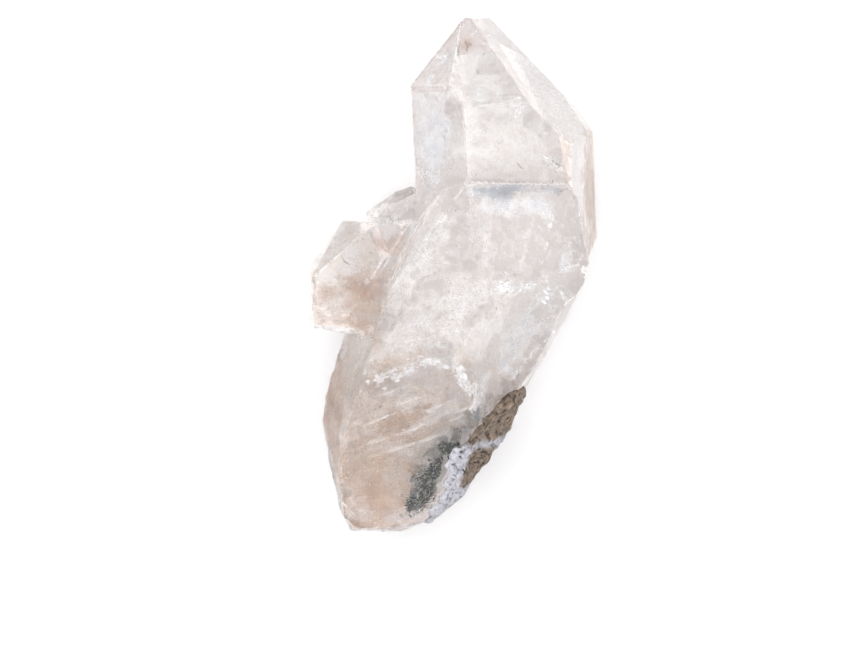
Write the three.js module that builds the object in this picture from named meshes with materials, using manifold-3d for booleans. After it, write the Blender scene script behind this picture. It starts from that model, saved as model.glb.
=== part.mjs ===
// A quartz crystal cluster, lying on its broken back: a tall six-sided main crystal with a chisel tip,
// a front crystal grown along it, a small side crystal and rough stubs, all grown from one broken root.
// A strip of host rock still sticks to the right flank of the root.
// Millimetres, +Z up. +Y runs along the main crystal to its tip, +X to its right.
import * as THREE from "three";
import { ConvexGeometry } from "three/addons/geometries/ConvexGeometry.js";
import { mergeVertices } from "three/addons/utils/BufferGeometryUtils.js";
import Module from "manifold-3d";

// Quartz: the angle between the long axis and the normal of a pyramid face.
const PYRAMID_ANGLE = 51.79;
const SIDES = 6;

// Main crystal. Its face distances are measured from its centre, and its faces are counted from the top
// one round to the right: top, right, lower right, bottom, lower left, left.
const MAIN_CRYSTAL = {
  centre: [19.5, 48, 38],
  lean: 2.8,
  tilt: 10.8,
  roll: 14,
  prism: [30, 29.7, 39, 38, 30, 35.8],
  pyramid: [36.5, 25.6, 38.5, 44, 41, 45.8],
  foot: 78,
  breaks: [
    { normal: [0.11, 0.975, 0.19], distance: 49.8 },
    { normal: [0.882, -0.471, 0], distance: 48.5 },
  ],
};

// A small stub behind the side crystal, half buried in the cluster.
const STUB = {
  centre: [-22, 14, 16],
  lean: 22,
  tilt: 4,
  roll: 12,
  prism: [12, 10, 9, 11, 9, 9],
  pyramid: [14, 11, 11, 12, 12, 11],
  foot: 16,
};

// Corners of the rough lump between the side crystal and the main one.
const LUMP = [
  [-35.7, 25.1, 18],
  [-27.6, 30.4, 22],
  [-23.6, 33.1, 24],
  [-16.9, 35.5, 24],
  [-13.3, 27.4, 34],
  [-13.6, 20.4, 40],
  [-30.1, 22, 32],
  [-21.5, 27.5, 31],
  [-31, 16, 8],
  [-8, 32, 12],
  [-8, 14, 6],
];

// Corners of the front crystal: its ledge and front face, its left faces, its right edge and its back.
const FRONT_CRYSTAL = [
  [4.3, 33.7, 77],
  [40.9, 34, 65],
  [45.6, 29.1, 62],
  [48.1, 16.4, 60],
  [50.2, 4.4, 56],
  [49.6, -4.2, 50],
  [-1.2, 32.2, 71],
  [-5.2, 31.2, 64],
  [-12.4, 24.1, 50],
  [-21.4, 2.4, 60],
  [-23.2, 3.6, 46],
  [-26.7, -10.1, 65],
  [-30.6, -26.3, 61],
  [7.2, -34.2, 63],
  [-10, 25, 8],
  [42, 32, 8],
  [50, 4, 12],
  [-24, -12, 8],
  [36, -22, 8],
];

// Corners of the side crystal: its large front face, its upper left face, its left edge and its back.
const SIDE_CRYSTAL = [
  [-31, 19.9, 42.3],
  [-16.7, 19.1, 44],
  [-19.3, -10, 54],
  [-26.8, -25.2, 57],
  [-55.4, -1.5, 47.3],
  [-54.3, -20.6, 54.2],
  [-34.4, -22.5, 56.9],
  [-44, 21.8, 28],
  [-57.5, 2.8, 33],
  [-57, -19.5, 34],
  [-43, 20, 14],
  [-54, 4, 16],
  [-53, -17, 22],
  [-15, 18, 14],
  [-22, -21, 20],
];

// Corners of the broken root: its blunt front ridge, left flank, lower end, right flank and flat back.
const ROOT = [
  [17.8, -5.2, 61],
  [7.2, -34.2, 63],
  [5.4, -44, 60],
  [2.4, -63.2, 55],
  [-8.2, -92, 40],
  [-30.6, -26.3, 60],
  [-37.5, -46.1, 56],
  [-42.2, -63.4, 52],
  [-43.6, -83, 45],
  [-43.5, -94, 39],
  [-39, -98.6, 36],
  [-21.4, -99.2, 37],
  [-11.7, -95.4, 37],
  [-43.1, -22.6, 30],
  [-51.2, -47.1, 26],
  [-52.4, -57, 25],
  [-50.1, -70.9, 24],
  [-46.1, -85.5, 24],
  [-46, -90.5, 26],
  [-41.4, -100.9, 25],
  [-21.6, -100.9, 28],
  [-11.7, -96.8, 30],
  [53, 5.2, 30],
  [47.3, -9.7, 28],
  [43.5, -18.3, 26],
  [36.9, -30.2, 24],
  [25.5, -44.5, 22],
  [18.7, -44.9, 57],
  [8.5, -60.2, 54],
  [1, -75.1, 48],
  [15.2, -65.9, 8],
  [5.6, -82.8, 8],
  [-5.7, -96.3, 10],
  [38, 30, 0],
  [-10, 28, 0],
  [42, 0, 0],
  [36, -21.5, 0],
  [20, -48, 0],
  [6, -68, 0],
  [-10, -88, 0],
  [-34, -86, 0],
  [-44, -66, 0],
  [-44, -50, 0],
  [-36, -21, 0],
];

// Shell-shaped breaks: the middle, the half sizes and the turn about Z of the bowl that is struck off.
const BREAKS = [
  { at: [-18, -108, 154], half: [86, 119, 119], turn: 0 },
  { at: [-36, -60, 96], half: [40, 40, 40], turn: 0 },
  { at: [66.5, -55.5, 90], half: [70, 70, 70], turn: 0 },
  { at: [-54, -78, 32], half: [7, 9, 9], turn: 8 },
  { at: [-58, -36, 18], half: [11, 16, 15], turn: 12 },
];
const BREAK_SEGMENTS = [96, 64];

// Host rock: a lumpy lens on the right flank of the root. Its flat side is bedded a little below the flank,
// and each of its waves of lumps has a rate along the strip and across it, a start and a height.
const CRUST = {
  at: [7.8, -70.2, 27],
  half: [4.8, 33, 21],
  bed: 1,
  turn: -35.5,
  lean: -10.8,
  waves: [
    [0.23, 0.12, 0.4, 0.55],
    [-0.16, 0.31, 2, 0.6],
    [0.52, -0.37, 1, 0.35],
    [0.71, 0.58, 3.1, 0.25],
  ],
  detail: 14,
};
// The crust's clearance to the quartz, the ways in which it is cut back, and its height above the table.
const CRUST_GAP = 0.35;
const CUT_BACK = [
  [1, 0, 0],
  [0, -1, 0],
  [0, 0, 1],
  [0.7, -0.7, 0],
  [0.6, -0.5, 0.6],
  [-0.5, -0.5, 0.5],
];
const CRUST_LIFT = 1.5;

// A block larger than the cluster, for the cut along the table.
const BLOCK = 400;

const QUARTZ = { color: 0xe9e2df, roughness: 0.08, metalness: 0 };
const HOST_ROCK = { color: 0x8d7a6c, roughness: 0.9, metalness: 0 };

const wasm = await Module();
wasm.setup();

const vector = (list) => new THREE.Vector3(...list);
const radians = THREE.MathUtils.degToRad;

// A closed geometry as a solid, with its shared corners merged.
function solid(geometry) {
  geometry.deleteAttribute("normal");
  geometry.deleteAttribute("uv");
  const merged = mergeVertices(geometry, 1e-4);
  return new wasm.Manifold(
    new wasm.Mesh({
      numProp: 3,
      vertProperties: merged.attributes.position.array,
      triVerts: new Uint32Array(merged.index.array),
    }),
  );
}

// The convex solid that has these corners.
function hull(corners) {
  return solid(new ConvexGeometry(corners.map(vector)));
}

// The directions of a crystal: its long axis, and the outward normal of a prism or pyramid face.
// lean turns the axis to the left, tilt lifts the tip, and roll turns the top face to the right.
function crystalFaces({ lean, tilt, roll }) {
  const [l, t, o] = [lean, tilt, roll].map(radians);
  const axis = new THREE.Vector3(-Math.sin(l) * Math.cos(t), Math.cos(l) * Math.cos(t), Math.sin(t));
  const side = new THREE.Vector3(Math.cos(l), Math.sin(l), 0);
  const face = side.clone().cross(axis);
  const top = face.multiplyScalar(Math.cos(o)).addScaledVector(side, Math.sin(o));
  const right = axis.clone().cross(top);
  const prism = (i) => {
    const angle = (2 * Math.PI * i) / SIDES;
    return top.clone().multiplyScalar(Math.cos(angle)).addScaledVector(right, Math.sin(angle));
  };
  const pyramid = (i) => {
    const angle = radians(PYRAMID_ANGLE);
    return prism(i).multiplyScalar(Math.sin(angle)).addScaledVector(axis, Math.cos(angle));
  };
  return { axis, prism, pyramid };
}

// The corners that a set of planes cuts off, each plane an outward normal and a distance.
function cornersOf(planes) {
  const corners = [];
  const inside = (p) => planes.every((plane) => plane.normal.dot(p) <= plane.distance + 1e-6);
  planes.forEach((a, i) =>
    planes.slice(i + 1).forEach((b, j) =>
      planes.slice(i + j + 2).forEach((c) => {
        const m = new THREE.Matrix3().set(
          ...a.normal.toArray(),
          ...b.normal.toArray(),
          ...c.normal.toArray(),
        );
        if (Math.abs(m.determinant()) < 1e-6) return;
        const p = new THREE.Vector3(a.distance, b.distance, c.distance).applyMatrix3(m.invert());
        if (inside(p)) corners.push(p);
      }),
    ),
  );
  return corners;
}

// A six-sided quartz crystal with a pyramid at its tip and a flat foot.
function quartzPoint(crystal) {
  const { axis, prism, pyramid } = crystalFaces(crystal);
  const planes = [{ normal: axis.clone().negate(), distance: crystal.foot }];
  for (let i = 0; i < SIDES; i++) {
    planes.push({ normal: prism(i), distance: crystal.prism[i] });
    planes.push({ normal: pyramid(i), distance: crystal.pyramid[i] });
  }
  for (const { normal, distance } of crystal.breaks ?? []) {
    planes.push({ normal: vector(normal).normalize(), distance });
  }
  const geometry = new ConvexGeometry(cornersOf(planes));
  return solid(geometry.translate(...crystal.centre));
}

// The round bowl of a shell-shaped break.
function bowl({ at, half, turn }) {
  const geometry = new THREE.SphereGeometry(1, ...BREAK_SEGMENTS);
  geometry.scale(...half);
  geometry.rotateZ(radians(turn));
  return solid(geometry.translate(...at));
}

// A block that fills everything below a height.
function groundBelow(height) {
  const geometry = new THREE.BoxGeometry(BLOCK, BLOCK, BLOCK);
  return solid(geometry.translate(0, 0, height - BLOCK / 2));
}

// All the crystals and the root, grown together, with the breaks struck off and a flat back.
function clusterSolid() {
  const crystals = [
    quartzPoint(MAIN_CRYSTAL),
    quartzPoint(STUB),
    hull(LUMP),
    hull(FRONT_CRYSTAL),
    hull(SIDE_CRYSTAL),
    hull(ROOT),
  ];
  const grown = crystals.reduce((whole, crystal) => whole.add(crystal));
  const broken = BREAKS.reduce((whole, piece) => whole.subtract(bowl(piece)), grown);
  return broken.subtract(groundBelow(0));
}

// The host rock: a lumpy strip pressed against the flank, cut back so that it clears the quartz.
function crustSolid(cluster) {
  const geometry = new THREE.IcosahedronGeometry(1, CRUST.detail);
  const position = geometry.attributes.position;
  const half = vector(CRUST.half);
  for (let i = 0; i < position.count; i++) {
    const ball = new THREE.Vector3().fromBufferAttribute(position, i);
    const point = ball.clone().multiply(half);
    const outward = ball.clone().divide(half).normalize();
    const lumps = CRUST.waves.map(
      ([along, across, start, height]) => height * Math.sin(along * point.y + across * point.z + start),
    );
    point.addScaledVector(outward, lumps.reduce((total, lump) => total + lump));
    position.setXYZ(i, Math.max(point.x, -CRUST.bed), point.y, point.z);
  }
  geometry.rotateY(radians(CRUST.lean));
  geometry.rotateZ(radians(CRUST.turn));
  let rock = solid(geometry.translate(...CRUST.at));
  for (const way of CUT_BACK) {
    rock = rock.subtract(cluster.translate(way.map((part) => part * CRUST_GAP)));
  }
  rock = rock.subtract(groundBelow(CRUST_LIFT));
  return rock.decompose().sort((a, b) => b.volume() - a.volume())[0];
}

// A named mesh of a solid, moved so that the cluster's lowest middle is the origin.
function mesh(name, body, finish, origin) {
  const { vertProperties, triVerts } = body.getMesh();
  const geometry = new THREE.BufferGeometry();
  geometry.setAttribute("position", new THREE.BufferAttribute(vertProperties, 3));
  geometry.setIndex(new THREE.BufferAttribute(triVerts, 1));
  geometry.translate(...origin.clone().negate().toArray());
  geometry.computeVertexNormals();
  const made = new THREE.Mesh(geometry, new THREE.MeshStandardMaterial(finish));
  made.name = name;
  return made;
}

const cluster = clusterSolid();
const crust = crustSolid(cluster);
const box = new THREE.Box3();
for (const body of [cluster, crust]) {
  const { min, max } = body.boundingBox();
  box.union(new THREE.Box3(vector(min), vector(max)));
}
const middle = box.getCenter(new THREE.Vector3());
const origin = new THREE.Vector3(middle.x, middle.y, box.min.z);

const quartzCluster = new THREE.Group();
quartzCluster.add(mesh("crystal_cluster", cluster, QUARTZ, origin));
quartzCluster.add(mesh("matrix_crust", crust, HOST_ROCK, origin));

export default quartzCluster;
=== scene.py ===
"""A natural quartz cluster lying on its broken back, with veils, chlorite moss and host rock."""
import random
from math import cos, exp, pi, radians, sin

import bmesh
import bpy
from bpy.props import FloatProperty, FloatVectorProperty, IntProperty, PointerProperty, StringProperty
from mathutils import Matrix, Vector, noise
from mathutils.bvhtree import BVHTree
from mathutils.kdtree import KDTree


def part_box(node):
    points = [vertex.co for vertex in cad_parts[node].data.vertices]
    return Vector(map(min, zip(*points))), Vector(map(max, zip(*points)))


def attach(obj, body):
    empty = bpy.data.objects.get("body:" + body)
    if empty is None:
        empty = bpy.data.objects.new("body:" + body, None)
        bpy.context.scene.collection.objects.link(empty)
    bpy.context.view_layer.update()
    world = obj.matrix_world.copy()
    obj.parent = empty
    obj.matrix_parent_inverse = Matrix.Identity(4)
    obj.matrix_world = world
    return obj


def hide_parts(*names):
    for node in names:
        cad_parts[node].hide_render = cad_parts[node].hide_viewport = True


bl_info = {
    "name": "Quartz crystal cluster",
    "version": (1, 0, 0),
    "blender": (4, 5, 0),
    "location": "3D View > Sidebar > Quartz",
    "description": "Builds a clear quartz cluster with its veils, chlorite moss and host rock",
    "category": "Add Mesh",
}

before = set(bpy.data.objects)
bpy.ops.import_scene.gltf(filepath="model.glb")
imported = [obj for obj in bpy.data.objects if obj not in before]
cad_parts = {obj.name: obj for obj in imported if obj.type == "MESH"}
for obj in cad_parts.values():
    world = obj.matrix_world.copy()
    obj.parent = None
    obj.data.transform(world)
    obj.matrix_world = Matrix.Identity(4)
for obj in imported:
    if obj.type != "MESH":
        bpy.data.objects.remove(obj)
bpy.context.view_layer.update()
MM = 0.001
UP = Vector((0, 0, 1))
BODY = "root"

# Rays that look for the front come down from this height, above everything.
RAY_START = 200 * MM

# A film is torn where it would step up or down by more than this.
STEEP_STEP = 4 * MM

# Index of refraction, against quartz, of minerals that are almost like it and so don't shine inside it.
IOR_IN_QUARTZ = 1.04

# The main crystal's long axis. Growth lines run across it.
LONG_AXIS = Vector((0.048, 0.981, -0.187)).normalized()

# The streaks in the root slant this way, seen from the front.
ROOT_STREAK = Vector((0.92, 0.39, 0))

# Veils by kind: healed cracks inside the quartz, and some sheets of painted shade and painted reflection.
# Millimetres and degrees: the point on the front above the veil, how deep it lies, half length, half width,
# the turn of its length, its tilt and how full it is.
VEILS = {
    "milky": (
        (27.7, 49.6, 10, 13, 5, -25, 35, 0.50),
        (33.5, 42.4, 6, 11, 3, -12, 45, 0.60),
        (12.7, 51.1, 15, 15, 8, 20, 20, 0.35),
        (24.8, 78.2, 8, 17, 4, -48, 55, 0.45),
        (18.2, 62.2, 6, 6, 3, 10, 20, 0.40),
        (3.4, 75.7, 8, 12, 6, 60, 30, 0.35),
        (12.6, 68.3, 2, 13, 6.5, 4, -31, 1.50),
        (13.0, 67.3, 1.4, 14, 5.6, 4, -31, 2.00),
        (7.2, 84.0, 3, 9, 5, 60, -25, 0.50),
        (17.0, 48.0, 4, 17, 11, 0, 8, 0.45),
        (23.0, -31.0, 4, 12, 7, 50, 20, 0.70),
        (48.0, 28.5, 4, 14, 3, 88, 30, 0.45),
        (53.3, 45.4, 3, 12, 2, 86, 30, 0.35),
        (-9.6, 13.9, 6, 14, 8, 50, 20, 0.55),
        (8.9, 17.6, 10, 16, 8, 90, 35, 0.40),
        (25.9, 16.0, 6, 18, 3, 80, 50, 0.50),
        (-13.4, 2.9, 5, 14, 6, 20, 20, 0.60),
        (5.3, -6.5, 8, 20, 10, 10, 15, 0.50),
        (16.6, -13.9, 10, 16, 8, -60, 30, 0.45),
        (-9.7, -17.7, 8, 18, 10, 30, 20, 0.55),
        (-20.9, -6.4, 6, 12, 7, 70, 20, 0.50),
        (-0.3, -21.4, 7, 12, 7, 110, 20, 0.50),
        (34.9, -17.6, 5, 9, 5, 55, 20, 0.50),
        (-34.6, 1.5, 6, 10, 5, 30, 30, 0.40),
        (-42.5, 11.4, 4, 8, 4, 50, 20, 0.35),
        (-45.9, -10.0, 5, 9, 5, -10, 20, 0.45),
        (-23.4, 25.5, 4, 8, 5, 20, 20, 1.00),
        (-22.5, 27.6, 2.5, 8, 4, 25, 10, 1.50),
        (-21.0, -29.0, 6, 18, 9, 20, 20, 0.60),
        (-36.4, -32.9, 4, 7, 4, 60, 20, 0.50),
        (9.1, -25.2, 8, 14, 10, 60, 20, 0.60),
        (-28.8, -52.1, 8, 20, 8, 30, 25, 0.50),
        (-13.5, -46.2, 6, 14, 7, 25, 20, 0.50),
        (-5.8, -52.0, 6, 18, 5, 28, 35, 0.45),
        (-23.2, -63.9, 7, 16, 9, 15, 15, 0.45),
        (-32.9, -79.6, 8, 14, 12, 0, 10, 0.50),
        (-21.3, -87.6, 6, 10, 7, -10, 15, 0.45),
        (-42.2, -55.9, 4, 12, 4, 80, 25, 0.55),
        (-38.6, -89.0, 4, 7, 5, 40, 15, 0.50),
        (-0.1, -55.1, 3, 16, 0.9, 27, 20, 0.80),
        (3.7, -51.1, 3, 13, 0.7, 30, 20, 0.80),
        (-9.7, -62.9, 3, 15, 0.9, 24, 20, 0.70),
        (-6.0, -50.0, 3, 15, 0.7, 27, 20, 0.70),
        (-22.4, -61.5, 3, 18, 1.2, 18, 20, 0.35),
        (-15.4, -58.9, 3, 11, 1.0, 23, 20, 0.45),
        (-21.5, -66.7, 3, 12, 1.2, 17, 20, 0.35),
        (-14.6, -46.8, 3, 10, 0.9, 24, 20, 0.45),
        (-29.3, -55.2, 3, 9, 0.9, 23, 20, 0.45),
        (-22.4, -43.5, 3, 9, 0.9, 21, 20, 0.45),
    ),
    "bluish": (
        # The fuller rows on the left prism face and those just under the ledge are painted reflection:
        # blue-white sheets that stand in for the sheen on that face and along the ledge. The rest are
        # fine-bubble veils.
        (-6.0, 50.0, 4, 24, 10, 92, -44, 1.20),
        (-11.9, 54.9, 6, 13, 6, 80, 25, 0.65),
        (-7.4, 42.7, 5, 13, 7, 70, -30, 1.20),
        (-11.0, 36.0, 4, 8, 5, 120, 20, 0.70),
        (-5.4, 79.8, 4, 6, 4, 50, 20, 0.60),
        (22.0, 25.0, 3, 4, 17, 90, 17, 0.45),
        (33.0, 24.5, 3, 8, 5, -40, 12, 0.70),
        (16.4, 26.0, 4, 12, 4, -25, 12, 0.60),
        (41.5, 1.3, 4, 9, 4, 80, 20, 0.60),
        (34.3, -8.1, 4, 8, 5, 20, 20, 0.60),
        (25.0, -21.5, 5, 12, 8, 50, 20, 0.55),
        (9.4, -42.4, 5, 8, 5, 70, 20, 0.60),
        (17.3, -33.0, 5, 10, 6, 60, 20, 0.60),
    ),
    "stained": (
        (-45.5, -52.0, 12, 28, 18, 86, -72, 1.60),
        (-46.5, -48.0, 15, 20, 15, 84, -72, 1.20),
        (-43.0, -72.0, 8, 12, 10, 92, -70, 1.20),
        (-30.0, -82.0, 5, 20, 16, 10, 6, 0.60),
        (-28.0, -88.0, 3, 16, 7, 0, 6, 0.60),
        (-24.0, -62.0, 7, 24, 16, 30, 8, 0.50),
        (-16.0, -50.0, 9, 18, 9, 25, 12, 0.50),
        (-22.0, -28.0, 9, 14, 9, 20, 12, 0.50),
        (-40.0, -8.0, 8, 13, 8, 0, 10, 0.50),
        (-37.0, -4.0, 3, 20, 16, 30, 5, 0.60),
        (-41.0, -18.0, 2, 14, 4, -10, 0, 1.20),
        (41.0, 46.0, 2.5, 12, 4, 95, 30, 0.60),
        (51.5, 32.0, 14, 29, 20, 87, 76, 2.00),
        (52.5, 22.0, 18, 20, 16, 87, 76, 1.50),
        (41.4, 40.0, 2.5, 10, 2.5, 95, 20, 0.60),
        (5.0, 86.0, 3, 6, 4, 70, -25, 0.60),
        (50.5, 42.0, 11, 22, 16, 87, 74, 2.00),
        (-22.5, 12.5, 4, 8, 5, 60, 20, 1.00),
        (-29.9, 13.5, 2.0, 8, 3, -62, 0, 2.00),
        (-30.0, -96.0, 3, 16, 3, 0, 30, 2.00),
    ),
    # Painted shade: grey-blue films under the ledge and along some dark lines, where the quartz lies in
    # shade.
    "painted_shade": (
        (23.0, 31.2, 2.5, 2.6, 22, 90, 17, 0.90),
        (15.0, 29.2, 2.5, 3.0, 11, 90, 17, 0.70),
        (9.0, -53.2, 2.5, 7, 3.5, 60, 20, 0.70),
        (4.0, -59.8, 2.5, 6, 1.8, 66, 20, 1.20),
        (13.0, -47.0, 2.5, 5, 2.5, 50, 20, 0.70),
        (16.2, 65.8, 2.0, 13, 0.7, 4, 0, 1.20),
        (-29.9, 13.5, 2.5, 8, 2.5, -62, 0, 0.40),
        (24.0, 80.5, 5, 9, 3.5, -50, 55, 0.60),
    ),
    "dusty": (
        (5.6, -56.7, 3, 9, 4, 60, 20, 0.50),
        (10.5, -51.5, 3, 7, 3, 55, 20, 0.45),
        (-0.1, -63.7, 4, 8, 4, 60, 20, 0.80),
        (-5.8, -67.8, 5, 9, 5, 55, 20, 0.80),
        (-11.6, -80.7, 10, 13, 6, 62, 10, 0.80),
        (-10.5, -86.6, 9, 9, 5, 60, 20, 0.50),
        (-15.0, -88.0, 9, 9, 5, 55, 10, 0.60),
    ),
}

# White air-filled cracks just under the front, where the surface is hackly too. Each row: half width of
# the band, how many shards, the largest shard, the hackle's height, and the line that the band follows.
FLASHES = (
    (1.9, 1900, 2.2, 0.9, ((-35.5, -45.0), (-33.2, -41.5), (-26.7, -40.0), (-21.0, -38.5), (-16.5, -35.8),
                           (-11.5, -33.5), (-5.9, -33.5), (-0.2, -36.5), (3.2, -41.1), (6.3, -45.0))),
    (2.8, 900, 2.3, 0.9, ((15.4, -3.8), (22.3, -5.3), (32.0, -4.4), (38.6, -6.1), (40.5, -9.9))),
    (3.0, 560, 2.6, 0.8, ((31.9, -3.3), (37.2, -8.4), (35.8, -11.8))),
    (0.9, 187, 1.6, 0.3, ((35.3, 29.2), (36.1, 21.7), (33.6, 8.7), (31.7, 4.2))),
    (0.7, 153, 1.6, 0.2, ((48.6, 23.1), (50.0, 15.7), (47.7, 5.1))),
    (0.6, 68, 1.9, 0.0, ((19.4, 25.9), (17.9, 21.1))),
    (1.4, 102, 2.1, 0.0, ((24.6, 62.7), (20.9, 56.8))),
    (1.0, 68, 1.6, 0.0, ((19.4, 65.0), (24.3, 64.7))),
    (1.3, 78, 2.2, 0.2, ((-6.6, 82.4), (-3.6, 79.2))),
    (1.6, 170, 1.8, 0.4, ((-16.4, 4.0), (-9.6, 2.5), (-3.7, 1.7))),
    (1.3, 238, 1.6, 0.4, ((-3.0, 20.9), (-8.9, 18.1), (-12.3, 12.2), (-15.3, 9.3))),
    (1.6, 430, 2.0, 0.6, ((38.9, -23.5), (33.2, -27.3), (28.5, -31.6), (22.4, -40.1))),
    (1.6, 420, 2.0, 0.6, ((6.2, -39.6), (8.7, -46.3), (6.3, -51.9))),
    (0.8, 27, 1.6, 0.0, ((-34.2, -2.3), (-33.4, -3.9))),
    (0.5, 20, 1.2, 0.0, ((6.2, 89.6), (7.7, 91.7))),
    (1.4, 136, 1.6, 0.0, ((33.5, 43.5), (40.2, 38.6))),
    (1.2, 170, 1.9, 0.1, ((-12.5, 39.5), (-6.6, 33.7), (-11.0, 27.2))),
    (1.2, 74, 1.6, 0.0, ((33.4, 57.1), (31.5, 54.1), (34.6, 51.6))),
)

# The chlorite moss, along lines seen from the front. Each row: half width, least and greatest depth,
# how many flakes, and the line.
MOSS = (
    (3.6, 1.1, 8.0, 17000, ((-7.0, -74.5), (-10.5, -79.5), (-13.3, -85.0), (-16.3, -90.0))),
    (6.5, 2.0, 9.0, 2600, ((-8.0, -75.0), (-13.0, -84.0), (-18.0, -92.0))),
    (4.2, 1.4, 6.0, 2300, ((0.0, -64.8), (-3.5, -68.5), (-6.5, -72.0))),
    (1.6, 1.2, 4.0, 500, ((4.8, -57.0), (2.6, -61.0), (1.0, -64.8))),
    (3.4, 1.2, 5.0, 420, ((13.0, -48.5), (8.5, -55.0), (4.0, -61.0))),
)

# Creases of the CAD shape that are worn smooth on the real crystal, as lines seen from the front.
SOFT_CREASES = (
    ((4.7, 20.0), (5.7, -33.0)),
    ((-30.5, -26.3), (5.7, -33.8)),
)

# Fine dark lines and marks close under the faces.
MARKS = (
    ((3.9, 83.0), (4.6, 85.5), (6.2, 86.3)),
    ((4.6, 85.5), (3.6, 87.0)),
    ((1.6, 87.0), (0.9, 83.0), (1.2, 80.5)),
    ((9.9, 82.4), (11.0, 82.0)),
    ((7.6, 75.9), (8.3, 73.9)),
    ((-44.1, -7.3), (-42.9, -9.2)),
    ((22.9, 41.1), (25.2, 38.9)),
    ((36.2, 42.4), (39.3, 40.3)),
    ((-27.0, 9.3), (-26.2, 8.5)),
    ((-43.9, 7.0), (-42.4, 4.6), (-40.4, 3.5)),
)


def linear(colour):
    """Turn an sRGB hex colour into linear red, green, blue and alpha."""
    parts = [int(colour[i:i + 2], 16) / 255 for i in (1, 3, 5)]
    return tuple(c / 12.92 if c <= 0.04045 else ((c + 0.055) / 1.055) ** 2.4 for c in parts) + (1.0,)


def add(tree, kind, values=None, links=None):
    """Add a node, set its sockets, properties or rising ramp stops by name, and link its inputs."""
    node = tree.nodes.new(kind)
    for name, value in (values or {}).items():
        if name == "stops":
            ramp = node.color_ramp.elements
            for position, _ in value[2:]:
                ramp.new(position)
            for stop, (position, colour) in zip(ramp, value):
                stop.position = position
                stop.color = linear(colour)
        elif isinstance(name, int) or name in node.inputs:
            node.inputs[name].default_value = value
        else:
            setattr(node, name, value)
    for name, socket in (links or {}).items():
        tree.links.new(socket, node.inputs[name])
    return node


def new_material(name):
    """Make an empty node material."""
    material = bpy.data.materials.new(name)
    material.use_nodes = True
    material.node_tree.nodes.clear()
    return material, material.node_tree


def smooth(low, high, value):
    """Rise gently from 0 at low to 1 at high."""
    t = min(max((value - low) / (high - low), 0.0), 1.0)
    return t * t * (3 - 2 * t)


def settings():
    """The values that the panel shows."""
    return bpy.context.scene.quartz_cluster


def place(obj, material):
    """Put a finished piece in the scene, on the part's one body, with its finish."""
    obj.data.materials.append(material)
    bpy.context.scene.collection.objects.link(obj)
    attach(obj, BODY)


def even_skin(node, grain):
    """A CAD node's surface as an even mesh of small quads."""
    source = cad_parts[node].data.copy()
    rough_cast = bpy.data.objects.new("rough_cast", source)
    bpy.context.scene.collection.objects.link(rough_cast)
    remesh = rough_cast.modifiers.new("even", "REMESH")
    remesh.mode = "VOXEL"
    remesh.voxel_size = grain
    solid = rough_cast.evaluated_get(bpy.context.evaluated_depsgraph_get())
    bm = bmesh.new()
    bm.from_mesh(solid.data)
    bpy.data.objects.remove(rough_cast)
    bpy.data.meshes.remove(source)
    return bm


def finished(bm, name, sharp):
    """Turn a bmesh into a smooth mesh that stays crisp where faces meet at more than an angle."""
    bmesh.ops.triangulate(bm, faces=bm.faces, quad_method="SHORT_EDGE")
    mesh = bpy.data.meshes.new(name)
    bm.to_mesh(mesh)
    bm.free()
    mesh.shade_smooth()
    mesh.set_sharp_from_angle(angle=radians(sharp))
    return mesh


def broken(point):
    """How broken the surface is at a point: 0 on a grown face, 1 on the root and the back."""
    _, y, z = point / MM
    root = smooth(-12, -36, y + 3 * noise.noise(point / (14 * MM)))
    back = smooth(9, 2, z)
    return max(root, back)


def crisp_edges(bm):
    """Merge the CAD triangles into whole faces and return the edges where they meet at an angle."""
    bmesh.ops.remove_doubles(bm, verts=bm.verts, dist=0.02 * MM)
    bmesh.ops.dissolve_limit(bm, angle_limit=radians(1), verts=bm.verts, edges=bm.edges)
    return [e for e in bm.edges if e.calc_face_angle(0) > settings().crisp_angle]


def distance_to_line(x, y, line):
    """Distance in the picture plane from a point to a line of corners."""
    least = 1e9
    for (ax, ay), (bx, by) in zip(line, line[1:]):
        ux, uy = bx - ax, by - ay
        t = min(max(((x - ax) * ux + (y - ay) * uy) / (ux * ux + uy * uy), 0.0), 1.0)
        least = min(least, (x - ax - t * ux) ** 2 + (y - ay - t * uy) ** 2)
    return least ** 0.5


def hackle_bands():
    """The hackly bands with their boxes, for a quick test."""
    bands = []
    for half, _, _, height, line in FLASHES:
        if height:
            reach = 2.2 * half
            xs = [p[0] for p in line]
            ys = [p[1] for p in line]
            box = (min(xs) - reach, max(xs) + reach, min(ys) - reach, max(ys) + reach)
            bands.append((box, half, height, line))
    return bands


def band_height(bands, x, y):
    """How high the hackle of the bands is at a point on the front."""
    most = 0.0
    for (x0, x1, y0, y1), half, height, line in bands:
        if x0 < x < x1 and y0 < y < y1:
            most = max(most, height * exp(-(distance_to_line(x, y, line) / half) ** 2))
    return most


def root_relief(p, normal):
    """Streaks on the broken root: slanting over its hollow front, steep down its left flank."""
    x, y, z = p / MM
    if normal.x < -0.5:
        return 1.8 * noise.noise(Vector((x / 5, y / 14 + x / 40, z / 1.5)))
    slant = x * 0.89 + y * 0.45
    across = y * 0.89 - x * 0.45
    return noise.noise(Vector((slant / 16, across / 1.7, z / 9)))


def off_crease(point):
    """Distance in millimetres, seen from the front, to the nearest crease that is worn smooth."""
    if point.z < 40 * MM:
        return 1e9
    return min(distance_to_line(point.x / MM, point.y / MM, line) for line in SOFT_CREASES)


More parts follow.
